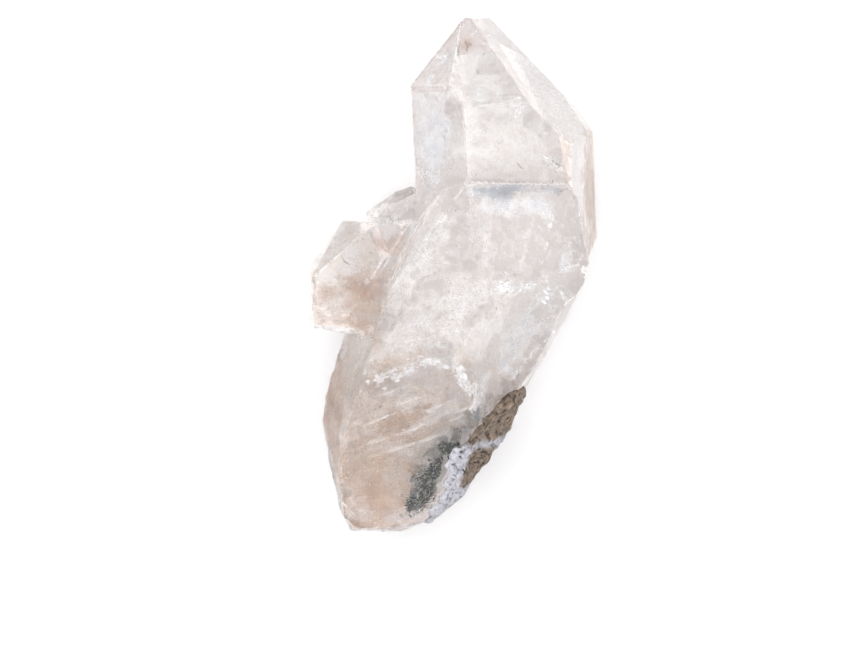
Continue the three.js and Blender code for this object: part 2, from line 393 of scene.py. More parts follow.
def snap_to_cad(bm, grain):
    """Put an even mesh back on the CAD faces and edges, and return a search tree of the edges."""
    cad = bmesh.new()
    cad.from_mesh(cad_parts["crystal_cluster"].data)
    segments = []
    samples = []
    for edge in crisp_edges(cad):
        a, b = (v.co.copy() for v in edge.verts)
        if off_crease((a + b) / 2) < 1.5:
            continue
        steps = max(1, int((b - a).length / (0.5 * MM)))
        samples.extend((a.lerp(b, (i + 0.5) / steps), len(segments)) for i in range(steps))
        segments.append((a, b))
    edges = KDTree(len(samples))
    for point, number in samples:
        edges.insert(point, number)
    edges.balance()
    faces = BVHTree.FromBMesh(cad)
    for vert in bm.verts:
        _, number, far = edges.find(vert.co)
        if far < 0.8 * grain:
            a, b = segments[number]
            t = (vert.co - a).dot(b - a) / (b - a).length_squared
            foot = a.lerp(b, min(max(t, 0.0), 1.0))
            if (foot - vert.co).length < 0.45 * grain:
                vert.co = foot
                continue
        vert.co = faces.find_nearest(vert.co)[0]
    cad.free()
    return edges


def lift_at(p, normal, rough, near, bands):
    """How far the surface stands out at a point: slow waves and growth lines on grown faces, hackle on
    breaks and in the cracked bands, less the nicks along the edges."""
    s = settings()
    along = p.dot(LONG_AXIS) / MM
    drift = noise.noise(p / (11 * MM))
    lines = noise.noise(Vector((along * 1.1 + drift, p.x / MM * 0.05, p.z / MM * 0.05)))
    hackle = noise.ridged_multi_fractal(p / (10 * MM), 0.9, 2.1, 4, 0.9, 1.6) - 0.9
    ripple = noise.noise(p / (3.4 * MM)) + 0.4 * noise.noise(p / (1.9 * MM))
    if p.z < 0.5 * MM:
        return -max(0.0, 0.5 * s.hackle * (hackle + 0.6 * ripple)) * smooth(0, 3 * MM, near)
    nicks = exp(-(near / (0.8 * MM)) ** 2) * max(0.0, 0.3 + noise.noise(p / (2.6 * MM)))
    lift = (1 - rough) * (s.waviness * drift + s.growth_line * lines)
    lift += rough * s.hackle * (hackle + 0.4 * ripple + 0.4 * root_relief(p, normal))
    lift -= nicks * s.edge_wear * (0.3 + rough) * smooth(-0.5, 0.2, normal.z)
    if normal.z > 0 and p.z > 15 * MM:
        band = band_height(bands, p.x / MM, p.y / MM)
        if band > 0.02:
            shatter = noise.ridged_multi_fractal(p / (3.6 * MM), 0.8, 2.2, 3, 0.9, 1.8) - 1.1
            lift += band * MM * (0.4 * shatter + 0.25 * ripple)
    return lift


def quartz_surface():
    """The CAD solid with worn edges, growth lines on its faces and hackle on its breaks."""
    s = settings()
    bm = even_skin("crystal_cluster", s.grain)
    edges = snap_to_cad(bm, s.grain)
    worn = [v for v in bm.verts if off_crease(v.co) < 6]
    for _ in range(s.crease_passes):
        bmesh.ops.smooth_vert(bm, verts=worn, factor=0.5, use_axis_x=True, use_axis_y=True, use_axis_z=True)
    bm.normal_update()
    bands = hackle_bands()
    fracture = bm.verts.layers.float.new("fracture")
    frost = bm.verts.layers.float.new("frost")
    moves = []
    for vert in bm.verts:
        p = vert.co
        normal = vert.normal
        out = normal.copy()
        for edge in vert.link_edges:
            out += 0.7 * edge.other_vert(vert).normal
        out.normalize()
        rough = broken(p)
        vert[fracture] = rough
        vert[frost] = max(smooth(0.15, -0.35, normal.z), smooth(10, 3, p.z / MM))
        moves.append(out * lift_at(p, normal, rough, edges.find(p)[2], bands))
    for vert, move in zip(bm.verts, moves):
        vert.co += move
    return finished(bm, "quartz_cluster", 30)


def rock_crystal():
    """Rock crystal, grown from hot water in a vein and then broken off: glass-clear with a faint warm
    tint. Grown faces are glossy with fine steps, breaks are rippled and catch the light."""
    s = settings()
    material, tree = new_material("rock_crystal")
    where = add(tree, "ShaderNodeTexCoord")
    rough = add(tree, "ShaderNodeAttribute", {"attribute_name": "fracture"})
    # Pitting about 0.8 mm across on the breaks.
    pits = add(tree, "ShaderNodeTexNoise", {"Scale": 1 / (0.8 * MM), "Detail": 2.0},
               {"Vector": where.outputs["Object"]})
    # Dull patches about 12 mm across, where the face is a little etched.
    dull = add(tree, "ShaderNodeTexNoise", {"Scale": 1 / (12 * MM), "Detail": 3.0},
               {"Vector": where.outputs["Object"]})
    gloss = add(tree, "ShaderNodeMapRange", {"From Min": 0.4, "From Max": 0.75, "To Min": 0.01,
                                             "To Max": 0.06}, {"Value": dull.outputs["Fac"]})
    frost = add(tree, "ShaderNodeAttribute", {"attribute_name": "frost"})
    satin = add(tree, "ShaderNodeMath", {"operation": "MULTIPLY_ADD", 1: 0.4},
                {0: frost.outputs["Fac"], 2: gloss.outputs["Result"]})
    bump = add(tree, "ShaderNodeBump", {"Distance": 0.05 * MM},
               {"Height": pits.outputs["Fac"], "Strength": rough.outputs["Fac"]})
    shader = add(tree, "ShaderNodeBsdfPrincipled",
                 {"Base Color": linear("#FFFFFF"), "Transmission Weight": 1.0, "IOR": s.ior},
                 {"Roughness": satin.outputs["Value"], "Normal": bump.outputs["Normal"]})
    tint = add(tree, "ShaderNodeVolumeAbsorption", {"Color": linear(s.tint), "Density": s.density})
    add(tree, "ShaderNodeOutputMaterial", links={"Surface": shader.outputs["BSDF"],
                                                 "Volume": tint.outputs["Volume"]})
    return material


def skin():
    """A search tree of the finished quartz surface."""
    mesh = bpy.data.objects["quartz_cluster"].data
    return BVHTree.FromPolygons([v.co for v in mesh.vertices], [p.vertices for p in mesh.polygons])


def below(tree, x, y, depth):
    """The point at a depth in millimetres under the upper surface at x, y, or None off the quartz."""
    top = tree.ray_cast(Vector((x * MM, y * MM, RAY_START)), -UP)[0]
    return top - UP * depth * MM if top else None


def sealed(tree, point, margin):
    """Whether a point lies inside the quartz, at least a margin from its surface."""
    spot, normal, _, distance = tree.find_nearest(point)
    return distance > margin and (point - spot).dot(normal) < 0


def shard(rng, centre, normal, size, stretch=None, along=None):
    """Corners of one thin irregular flake, drawn out along a direction if one is given."""
    side = normal.orthogonal().normalized()
    turn = rng.uniform(0, 2 * pi)
    if along:
        side = (along - normal * along.dot(normal)).normalized()
        turn = rng.uniform(-0.4, 0.4)
    other = normal.cross(side)
    count = rng.choice((3, 4, 4, 5))
    stretch = stretch or rng.uniform(0.45, 1.0)
    corners = []
    for i in range(count):
        angle = turn + 2 * pi * (i + rng.uniform(-0.25, 0.25)) / count
        reach = size * rng.uniform(0.4, 1.0) / 2
        corners.append(centre + side * reach * cos(angle) + other * reach * stretch * sin(angle))
    return corners


def any_way(rng):
    """A random direction."""
    while True:
        v = Vector([rng.uniform(-1, 1) for _ in range(3)])
        if 0.05 < v.length < 1:
            return v.normalized()


def meshed(name, points, faces):
    """One mesh object from points and faces."""
    mesh = bpy.data.meshes.new(name)
    mesh.from_pydata(points, [], faces)
    mesh.update()
    return bpy.data.objects.new(name, mesh)


def joined(name, flakes):
    """One mesh object of many flakes."""
    points = []
    faces = []
    for corners in flakes:
        faces.append(tuple(range(len(points), len(points) + len(corners))))
        points.extend(corners)
    return meshed(name, points, faces)


def along_line(rng, line):
    """A random point on a line of corners, evenly by length, and the line's direction there."""
    corners = [Vector(p) for p in line]
    lengths = [(b - a).length for a, b in zip(corners, corners[1:])]
    reach = rng.uniform(0, sum(lengths))
    for a, b, length in zip(corners, corners[1:], lengths):
        if reach <= length:
            break
        reach -= length
    return a.lerp(b, min(reach / length, 1.0)), (b - a).normalized()


def add_quads(grid, points, faces):
    """Join the neighbours in a grid of points into faces, leaving out steep steps."""
    corner = {}
    for (i, j) in grid:
        square = ((i, j), (i + 1, j), (i + 1, j + 1), (i, j + 1))
        if not all(key in grid for key in square):
            continue
        heights = [grid[key].z for key in square]
        if max(heights) - min(heights) > STEEP_STEP:
            continue
        for key in square:
            if key not in corner:
                corner[key] = len(points)
                points.append(grid[key])
        faces.append([corner[key] for key in square])


def moss_gap(x, y):
    """Distance in millimetres, seen from the front, to the nearest moss: less than 0 over the moss."""
    return min(distance_to_line(x, y, line) - 0.8 * half for half, _, _, _, line in (MOSS[0], MOSS[2]))


def veil_films(tree, rows, first, over_moss):
    """Soft clouds: each veil is a stack of thin bent films, each smaller than the one under it."""
    s = settings()
    rng = random.Random(17 + first)
    step = s.veil_grain / MM
    points = []
    faces = []
    for number, (x, y, depth, half_long, half_wide, turn, tilt, full) in enumerate(rows, first):
        centre = below(tree, x, y, depth)
        if centre is None:
            raise RuntimeError(f"veil {number} is off the quartz")
        spin = Matrix.Rotation(radians(turn), 3, "Z") @ Matrix.Rotation(radians(tilt), 3, "X")
        long, wide, normal = (spin.col[i].copy() for i in range(3))
        columns = int(half_long / step) + 1
        rungs = max(3, int(half_wide / step) + 1)
        cross = half_wide / (rungs - 1)
        for layer in range(s.veil_layers):
            grid = {}
            for i in range(-columns, columns + 1):
                for j in range(-rungs, rungs + 1):
                    u = (i + rng.uniform(-0.3, 0.3)) * step
                    v = (j + rng.uniform(-0.3, 0.3)) * cross
                    edge = 1 - (u / half_long) ** 2 - (v / half_wide) ** 2
                    if edge < -1.2:
                        continue
                    wisp = noise.fractal(Vector((u / 7, v / 3.2, number * 7.3 + layer * 0.05)), 0.6, 2.2, 6)
                    if edge + 0.9 * wisp < 0.05 + 0.55 * layer / s.veil_layers / full:
                        continue
                    bend = 2.0 * noise.noise(Vector((u / 9, v / 9, number * 3.1))) + 0.35 * layer
                    spot = centre + (long * u + wide * v + normal * bend) * MM
                    if not over_moss and moss_gap(spot.x / MM, spot.y / MM) < -0.4 * wisp:
                        continue
                    if sealed(tree, spot, 0.7 * MM):
                        grid[i, j] = spot
            add_quads(grid, points, faces)
    return points, faces


def haziness(x, y):
    """How hazy the quartz is under a point of the front, in millimetres, and how warm that haze is."""
    root = smooth(-14, -40, y)
    side = smooth(-24, -30, x) * smooth(26, 20, y)
    right = smooth(47, 50, x) * smooth(4, 10, y)
    flank = smooth(-36, -41, x) * smooth(-28, -34, y)
    main = smooth(33, 38, y)
    haze = 0.15 + 0.6 * main + 0.3 * root + 0.5 * side + 0.3 * right + 0.3 * flank
    return haze - 0.9 * smooth(2, 0, moss_gap(x, y)), max(root, side, right)


def haze_films(tree):
    """Faint films that follow the front a few millimetres under it: pale ones in the main and front
    crystals, then warm ones in the root and the side crystal."""
    s = settings()
    rng = random.Random(61)
    low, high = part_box("crystal_cluster")
    top = {}
    for i in range(int((high[0] - low[0]) / s.haze_grain) + 1):
        for j in range(int((high[1] - low[1]) / s.haze_grain) + 1):
            x = low[0] + (i + rng.uniform(-0.3, 0.3)) * s.haze_grain
            y = low[1] + (j + rng.uniform(-0.3, 0.3)) * s.haze_grain
            spot = below(tree, x / MM, y / MM, 0)
            if spot is not None:
                haze, warm = haziness(spot.x / MM, spot.y / MM)
                tone = warm + 0.3 * noise.noise(spot / (6 * MM)) > 0.5
                top[i, j] = (spot, haze, tone)
    films = ([], []), ([], [])
    for layer in range(s.haze_layers):
        grids = {}, {}
        for key, (spot, haze, tone) in top.items():
            x, y, _ = spot / MM
            if noise.fractal(Vector((x / 4, y / 5, layer * 3.1)), 0.55, 2.1, 6) + haze < 0.25:
                continue
            depth = 2.4 + 1.3 * layer + 0.9 * noise.noise(Vector((x / 9, y / 9, layer)))
            point = spot - UP * depth * MM
            if sealed(tree, point, 0.6 * MM):
                grids[tone][key] = point
        for grid, (points, faces) in zip(grids, films):
            add_quads(grid, points, faces)
    return films


def flash_flakes(tree):
    """Shards of cracks in bands close under the surface."""
    rng = random.Random(23)
    flakes = []
    for half, count, largest, _, line in FLASHES:
        for _ in range(count):
            spot, way = along_line(rng, line)
            side = Vector((-way.y, way.x)) * half * rng.gauss(0, 0.55)
            point = below(tree, spot.x + side.x, spot.y + side.y, rng.uniform(0.5, 1.8))
            if point is None or not sealed(tree, point, 0.3 * MM):
                continue
            gaps = 1.1 * noise.noise(point / (5 * MM)) + 0.6 * noise.noise(point / (1.8 * MM))
            if gaps + 0.1 < rng.uniform(-0.1, 0.4):
                continue
            kind = rng.random()
            way = Vector((way.x, way.y, 0))
            if kind < 0.1:
                # A broad patch, close to flat.
                facing = (UP + 0.5 * any_way(rng)).normalized()
                size = largest * rng.uniform(1.0, 1.9)
                flakes.append(shard(rng, point, facing, size * MM, rng.uniform(0.2, 0.5), way))
            elif kind < 0.35:
                # A sliver along the band.
                facing = (UP + 0.7 * any_way(rng)).normalized()
                size = largest * rng.uniform(0.8, 1.6)
                flakes.append(shard(rng, point, facing, size * MM, 0.18, way + 0.5 * any_way(rng)))
            else:
                facing = (UP + 0.9 * any_way(rng)).normalized()
                size = largest * rng.uniform(0.3, 1.0) ** 1.5
                flakes.append(shard(rng, point, facing, size * MM, rng.uniform(0.2, 0.6)))
    return flakes


def scattered_flakes(tree, seed, tries, slivers):
    """Tiny slivers and specks scattered under the front, thick in the root and thin in the main crystal."""
    rng = random.Random(seed)
    low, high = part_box("crystal_cluster")
    flakes = []
    for _ in range(tries):
        x = rng.uniform(low[0], high[0]) / MM
        y = rng.uniform(low[1], high[1]) / MM
        point = below(tree, x, y, 0.6 + 5 * rng.random() ** 2)
        if point is None or not sealed(tree, point, 0.3 * MM):
            continue
        share = 0.45 - 0.35 * smooth(25, 38, y)
        if noise.noise(point / (8 * MM)) + 0.6 * noise.noise(point / (3 * MM)) + share < rng.uniform(0, 0.8):
            continue
        facing = (UP + 0.8 * any_way(rng)).normalized()
        sliver = rng.random() < slivers
        size = rng.uniform(0.8, 2.0) if sliver else rng.uniform(0.25, 0.6)
        streak = ROOT_STREAK + 0.3 * any_way(rng) if y < -38 else any_way(rng)
        flakes.append(shard(rng, point, facing, size * MM, 0.16 if sliver else None, streak))
    return flakes


def edge_flakes(tree):
    """Fine white chips along the crisp edges of the upper side, and a painted highlight on those edges."""
    rng = random.Random(29)
    bm = bmesh.new()
    bm.from_mesh(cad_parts["crystal_cluster"].data)
    flakes = []
    for edge in crisp_edges(bm):
        length = edge.calc_length()
        a, b = (v.co for v in edge.verts)
        normal = (edge.link_faces[0].normal + edge.link_faces[1].normal).normalized()
        if length < 2 * MM or normal.z < -0.2 or edge.calc_face_angle(0) < radians(20):
            continue
        way = (b - a).normalized()
        for i in range(int(length / (0.45 * MM))):
            t = (i + rng.random()) * 0.45 * MM / length
            point = a.lerp(b, min(t, 1.0)) - normal * rng.uniform(0.25, 0.5) * MM
            if noise.noise(point / (5 * MM)) + 0.15 < rng.uniform(-0.3, 0.3):
                continue
            if off_crease(point) > 1.5 and sealed(tree, point, 0.06 * MM):
                side = way.cross(normal) * rng.uniform(0.1, 0.25) * MM
                reach = way * rng.uniform(0.2, 0.5) * MM
                flakes.append([point - reach - side, point + reach - side, point + reach + side,
                               point - reach + side])
    bm.free()
    return flakes


def moss_flakes(tree):
    """Dark green chlorite flakes in clumps."""
    rng = random.Random(37)
    flakes = []
    for half, shallow, deep, count, line in MOSS:
        for _ in range(count):
            spot, _ = along_line(rng, line)
            out = any_way(rng) * half * 1.3 * rng.random() ** 0.5
            depth = shallow + (deep - shallow) * rng.random()
            point = below(tree, spot.x + out.x, spot.y + out.y, depth)
            if point is None or not sealed(tree, point, 0.8 * MM):
                continue
            clump = noise.noise(point / (6.5 * MM)) + 0.6 * noise.noise(point / (2.4 * MM))
            if clump + 0.15 < rng.uniform(-0.1, 0.35) + 0.5 * (out.length / half) ** 2:
                continue
            flakes.append(shard(rng, point, any_way(rng), rng.uniform(0.5, 1.7) * MM))
    return flakes


def tube(points, radius):
    """A closed three-sided thread along some points, as faces of corners."""
    rings = []
    for i, point in enumerate(points):
        way = (points[min(i + 1, len(points) - 1)] - points[max(i - 1, 0)]).normalized()
        side = way.orthogonal().normalized()
        other = way.cross(side)
        thin = radius * (0.35 + 0.65 * sin(pi * (i + 0.5) / len(points)))
        rings.append([point + thin * (side * cos(a) + other * sin(a)) for a in (0, 2 * pi / 3, 4 * pi / 3)])
    faces = [rings[0][::-1], rings[-1]]
    for a, b in zip(rings, rings[1:]):
        for i in range(3):
            k = (i + 1) % 3
            faces.append([a[i], a[k], b[k], b[i]])
    return faces


def moss_threads(tree):
    """Pale fibres that run through the moss."""
    rng = random.Random(41)
    faces = []
    half, shallow, deep, _, line = MOSS[0]
    for _ in range(settings().fibres):
        spot, way = along_line(rng, line)
        out = any_way(rng) * half * rng.random() ** 0.5
        point = below(tree, spot.x + out.x, spot.y + out.y, rng.uniform(shallow, 0.4 * deep))
        heading = (Vector((way.x, way.y, 0)) + 0.9 * any_way(rng)).normalized()
        path = []
        for _ in range(6):
            if point is None or not sealed(tree, point, 0.8 * MM):
                break
            path.append(point)
            heading = (heading + 0.5 * any_way(rng)).normalized()
            point = point + heading * rng.uniform(0.4, 0.8) * MM
        if len(path) > 2:
            faces.extend(tube(path, rng.uniform(0.05, 0.1) * MM))
    return faces


def dark_flecks(tree):
    """Specks all through the quartz and the fine marks under its faces."""
    rng = random.Random(53)
    low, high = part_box("crystal_cluster")
    flakes = []
    while len(flakes) < settings().specks:
        x = rng.uniform(low[0], high[0]) / MM
        y = rng.uniform(low[1], high[1]) / MM
        point = below(tree, x, y, rng.uniform(1.0, 9.0))
        if point is not None and sealed(tree, point, 0.6 * MM):
            flakes.append(shard(rng, point, any_way(rng), rng.uniform(0.2, 0.5) * MM))
    for line in MARKS:
        points = []
        for a, b in zip(line, line[1:]):
            for i in range(4):
                spot = Vector(a).lerp(Vector(b), i / 3)
                point = below(tree, spot.x, spot.y, 1.2)
                if point is not None and sealed(tree, point, 0.3 * MM):
                    points.append(point + any_way(rng) * 0.1 * MM)
        if len(points) > 2:
            flakes.extend(tube(points, 0.2 * MM))
    return flakes


def crust_spread(y, z):
    """How far the rock reaches over the quartz's edge, in millimetres: less than 0 where it falls short."""
    over = 4.4 * smooth(-49, -60, y) * smooth(-79, -70, y)
    short = 2.4 * smooth(-80, -85, y) * smooth(-95, -90, y)
    return (over - short) * smooth(26, 40, z) * (1 + 0.5 * noise.noise(Vector((0, y / 3, 0))))


def chalkiness(x, y, drift):
    """How chalky the rock is at a place seen from the front, from 0 where it is tan to 1 where white."""
    chalky = smooth(-63.5, -67, y + 2.5 * drift)
    sandy = (smooth(-0.8, 0.8, x - 5.9 - 0.32 * (y + 69) + 2.5 * drift)
             * smooth(-67, -69.5, y + 2 * drift) * smooth(-84, -81.5, y + 2 * drift))
    return chalky * (1 - sandy)


def crust_surface(tree):
    """The host rock, bedded onto the quartz, lumpy and pitted, spread a little over the quartz's edge."""
    s = settings()
    bm = even_skin("matrix_crust", s.crust_grain)
    bm.normal_update()
    white = bm.verts.layers.float.new("white")
    hollow = bm.verts.layers.float.new("pit")
    places = []
    for vert in bm.verts:
        p = vert.co.copy()
        x, y, z = p / MM
        spot, normal, _, distance = tree.find_nearest(p)
        bedded = vert.normal.dot(normal) < -0.2 and distance < 1.5 * MM
        lumps = noise.fractal(p / (5 * MM), 0.7, 2.1, 5)
        pits = max(0.0, noise.noise(p / (1.4 * MM)) - 0.1)
        drift = noise.noise(p / (8 * MM))
        spread = crust_spread(y, z)
        vert[white] = chalkiness(x - spread, y, drift)
        vert[hollow] = smooth(0.02, 0.25, pits) * (1 - 0.5 * vert[white])
        if bedded:
            p = spot - normal * 0.3 * MM
        else:
            p += vert.normal * (0.8 * lumps - 1.1 * pits) * MM
            spot, normal, _, _ = tree.find_nearest(p)
            if (p - spot).dot(normal) < 0.5 * MM:
                p = spot + normal * 0.5 * MM
        if abs(spread) > 0.2:
            p.x -= spread * MM
            top = below(tree, p.x / MM, p.y / MM, 0)
            if top is not None and bedded:
                p.z = top.z - 0.3 * MM
            elif top is not None:
                p.z = max(p.z, top.z + max(0.3, 0.7 + 0.9 * lumps - 0.8 * pits) * MM)
        places.append(p)
    for vert, p in zip(bm.verts, places):
        vert.co = p
    return finished(bm, "host_rock", 40)


def host_rock():
    """Weathered host rock, a sandy crust torn off with the crystal: tan with iron stains, chalky white
    in patches, dull and pitted."""
    material, tree = new_material("weathered_host_rock")
    where = add(tree, "ShaderNodeTexCoord")
    # Sand grains about 0.9 mm across and stains about 3.5 mm across.
    grains = add(tree, "ShaderNodeTexNoise", {"Scale": 1 / (0.9 * MM), "Detail": 4.0},
                 {"Vector": where.outputs["Object"]})
    stains = add(tree, "ShaderNodeTexNoise", {"Scale": 1 / (3.5 * MM), "Detail": 6.0, "Roughness": 0.7},
                 {"Vector": where.outputs["Object"]})
    tan = add(tree, "ShaderNodeValToRGB", {"stops": ((0.34, "#332B25"), (0.68, "#8C7A69"))},
              {"Fac": stains.outputs["Fac"]})
    chalk = add(tree, "ShaderNodeValToRGB", {"stops": ((0.3, "#85848A"), (0.6, "#A4A3A9"))},
                {"Fac": grains.outputs["Fac"]})
    white = add(tree, "ShaderNodeAttribute", {"attribute_name": "white"})
    colour = add(tree, "ShaderNodeMix", {"data_type": "RGBA"},
                 {0: white.outputs["Fac"], 6: tan.outputs["Color"], 7: chalk.outputs["Color"]})
    pit = add(tree, "ShaderNodeAttribute", {"attribute_name": "pit"})
    dark = add(tree, "ShaderNodeValToRGB", {"stops": ((0.1, "#FFFFFF"), (0.8, "#57493F"))},
               {"Fac": pit.outputs["Fac"]})
    speckled = add(tree, "ShaderNodeMix", {"data_type": "RGBA", "blend_type": "MULTIPLY", 0: 0.8},
                   {6: colour.outputs[2], 7: dark.outputs["Color"]})
    dull = add(tree, "ShaderNodeMapRange", {"To Min": 0.7, "To Max": 0.95},
               {"Value": grains.outputs["Fac"]})
    bump = add(tree, "ShaderNodeBump", {"Distance": 0.25 * MM, "Strength": 0.8},
               {"Height": grains.outputs["Fac"]})
    shader = add(tree, "ShaderNodeBsdfPrincipled", {"IOR": 1.5},
                 {"Base Color": speckled.outputs[2], "Roughness": dull.outputs["Result"],
                  "Normal": bump.outputs["Normal"]})
    add(tree, "ShaderNodeOutputMaterial", links={"Surface": shader.outputs["BSDF"]})
    return material


def flake_material(name, dark, light, spot_mm, values):
    """A mineral seen as thin flakes: two shades that change from spot to spot."""
    material, tree = new_material(name)
    where = add(tree, "ShaderNodeTexCoord")
    spots = add(tree, "ShaderNodeTexNoise", {"Scale": 1 / (spot_mm * MM), "Detail": 2.0},
                {"Vector": where.outputs["Object"]})
    shade = add(tree, "ShaderNodeValToRGB", {"stops": ((0.35, dark), (0.65, light))},
                {"Fac": spots.outputs["Fac"]})
    shader = add(tree, "ShaderNodeBsdfPrincipled", values, {"Base Color": shade.outputs["Color"]})
    add(tree, "ShaderNodeOutputMaterial", links={"Surface": shader.outputs["BSDF"]})
    return material


def paper_floor():
    """A sheet of matt white paper, uncoated and so without gloss, wide enough to fill every view."""
    half = 3.0
    level = -0.3 * MM
    corners = [(-half, -half, level), (half, -half, level), (half, half, level), (-half, half, level)]
    floor = meshed("floor", corners, [(0, 1, 2, 3)])
    material, tree = new_material("matt_white_paper")
    shader = add(tree, "ShaderNodeBsdfPrincipled", {"Base Color": linear("#CFCFCF"), "Roughness": 0.9})
    add(tree, "ShaderNodeOutputMaterial", links={"Surface": shader.outputs["BSDF"]})
    floor.data.materials.append(material)
    bpy.context.scene.collection.objects.link(floor)


def soft_room():
    """Light from all round, grey at the horizon and brightest overhead."""
    world = bpy.data.worlds.new("soft_room")
    world.use_nodes = True
    tree = world.node_tree
    tree.nodes.clear()
    where = add(tree, "ShaderNodeTexCoord")
    height = add(tree, "ShaderNodeSeparateXYZ", links={0: where.outputs["Generated"]})
    sky = add(tree, "ShaderNodeValToRGB",
              {"stops": ((0.0, "#8E8D91"), (0.25, "#C4C3C6"), (0.55, "#EDECEE"), (0.8, "#FFFFFF"))},
              {"Fac": height.outputs["Z"]})
    glow = add(tree, "ShaderNodeBackground", {"Strength": settings().world_light},
               {"Color": sky.outputs["Color"]})
    add(tree, "ShaderNodeOutputWorld", links={"Surface": glow.outputs["Background"]})
    bpy.context.scene.world = world


def soft_lamp(name, spot, size, power):
    """A square lamp that faces the cluster."""
    lamp = bpy.data.lights.new(name, "AREA")
    lamp.size = size
    lamp.energy = power
    light = bpy.data.objects.new(name, lamp)
    light.location = spot
    light.rotation_euler = (-Vector(spot)).to_track_quat("-Z", "Y").to_euler()
    bpy.context.scene.collection.objects.link(light)


class QuartzClusterSettings(bpy.types.PropertyGroup):
    """Sizes and colours of the cluster."""

    crisp_angle: FloatProperty(name="Crisp edge", description="Least angle between faces that makes an edge",
                               default=radians(9), subtype="ANGLE")
    edge_wear: FloatProperty(name="Edge wear", description="Depth of the nicks along the edges",
                             default=0.5 * MM, unit="LENGTH")
    grain: FloatProperty(name="Grain", description="Mesh size on the quartz", default=0.87 * MM,
                         unit="LENGTH")
    waviness: FloatProperty(name="Waviness", description="Height of the slow waves on grown faces",
                            default=0.05 * MM, unit="LENGTH")
    growth_line: FloatProperty(name="Growth lines", description="Height of the lines across grown faces",
                               default=0.006 * MM, unit="LENGTH")
    hackle: FloatProperty(name="Hackle", description="Height of the ridges on broken faces",
                          default=0.45 * MM, unit="LENGTH")
    ior: FloatProperty(name="IOR", description="Refraction of quartz", default=1.544)
    tint: StringProperty(name="Tint", description="Colour that thick quartz takes on", default="#FBF6F4")
    density: FloatProperty(name="Tint density", description="Strength of the tint in a metre", default=12.0)
    veil_grain: FloatProperty(name="Veil grain", description="Mesh size of the films in a veil",
                              default=0.8 * MM, unit="LENGTH")
    crease_passes: IntProperty(name="Crease passes", description="How often the worn creases are smoothed",
                               default=30)
    haze_grain: FloatProperty(name="Haze grain", description="Mesh size of the faint films under the front",
                              default=1.0 * MM, unit="LENGTH")
    haze_layers: IntProperty(name="Haze layers", description="Faint films under the front", default=3)
    haze_alpha: FloatProperty(name="Haze opacity", description="Opacity of one faint film", default=0.112,
                              subtype="FACTOR")
    veil_layers: IntProperty(name="Veil layers", description="Films stacked in one veil", default=5)
    veil_alpha: FloatProperty(name="Veil opacity", description="Opacity of one film", default=0.177,
                              subtype="FACTOR")
    glints: IntProperty(name="Glints", description="Tries at tiny slivers under the front", default=30000)
    hairs: IntProperty(name="Hair cracks", description="Tries at grey slivers under the front",
                       default=13000)
    fibres: IntProperty(name="Fibres", description="Tries at pale fibres in the moss", default=80)
    specks: IntProperty(name="Specks", description="Dark specks all through the quartz", default=420)
    crust_grain: FloatProperty(name="Crust grain", description="Mesh size on the host rock",
                               default=0.55 * MM, unit="LENGTH")
    world_light: FloatProperty(name="Room light", description="Strength of the light from all round",
                               default=2.2)
    lens: FloatProperty(name="Lens", description="Focal length of the camera", default=84.5)
    camera_place: FloatVectorProperty(name="Camera", description="Where the camera hangs over the cluster",
                                      default=(-9.09 * MM, -19.54 * MM, 825 * MM), subtype="TRANSLATION")


class QUARTZ_OT_cluster(bpy.types.Operator):
    """Build the quartz: main, front and side crystals and their broken root"""

    bl_idname = "quartz.cluster"
    bl_label = "Quartz"

    def execute(self, context):
        piece = bpy.data.objects.new("quartz_cluster", quartz_surface())
        place(piece, rock_crystal())
        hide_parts("crystal_cluster")
        return {"FINISHED"}


class QUARTZ_OT_veils(bpy.types.Operator):
    """Build the veils and the faint haze inside the quartz"""

    bl_idname = "quartz.veils"
    bl_label = "Veils"

    def execute(self, context):
        tree = skin()
        film = settings().veil_alpha
        # Healed cracks full of tiny fluid drops look milky, and the finest ones bluish, though some
        # blue-white sheets are painted reflection. Iron stains some of them brown and chlorite dust greys
        # others. The grey-blue sheets are painted shade: dark films where the quartz lies in shade.
        finishes = {
            "milky": flake_material("healed_crack_veil", "#F4EFEC", "#FFFFFF", 6.0,
                                    {"Roughness": 0.6, "Alpha": film}),
            "bluish": flake_material("fine_bubble_and_reflection_veil", "#ECEFF6", "#FFFFFF", 6.0,
                                     {"Roughness": 0.6, "Alpha": film}),
            "stained": flake_material("iron_stained_veil", "#B4845F", "#DFBEA2", 9.0,
                                      {"Roughness": 0.6, "Alpha": 0.6 * film}),
            "painted_shade": flake_material("painted_grey_shade", "#707988", "#AEB5C1", 4.0,
                                    {"Roughness": 0.6, "Alpha": film}),
            "dusty": flake_material("chlorite_dust_veil", "#20261F", "#565C50", 3.0,
                                    {"Roughness": 0.7, "IOR": IOR_IN_QUARTZ, "Alpha": film}),
        }
        first = 0
        for kind, rows in VEILS.items():
            points, faces = veil_films(tree, rows, first, kind in ("dusty", "painted_shade"))
            place(meshed(f"{kind}_veils", points, faces), finishes[kind])
            first += len(rows)
        # Drops too fine to see one by one cloud the quartz a little, and iron warms them in the root.
        pale = flake_material("pale_haze", "#FAF6F4", "#FFFFFF", 6.0,
                              {"Roughness": 0.6, "Alpha": settings().haze_alpha})
        warm = flake_material("warm_haze", "#BA9472", "#E4CBB4", 8.0,
                              {"Roughness": 0.6, "Alpha": settings().haze_alpha})
        for name, finish, sheets in zip(("pale_haze", "warm_haze"), (pale, warm), haze_films(tree)):
            place(meshed(name, *sheets), finish)
        return {"FINISHED"}


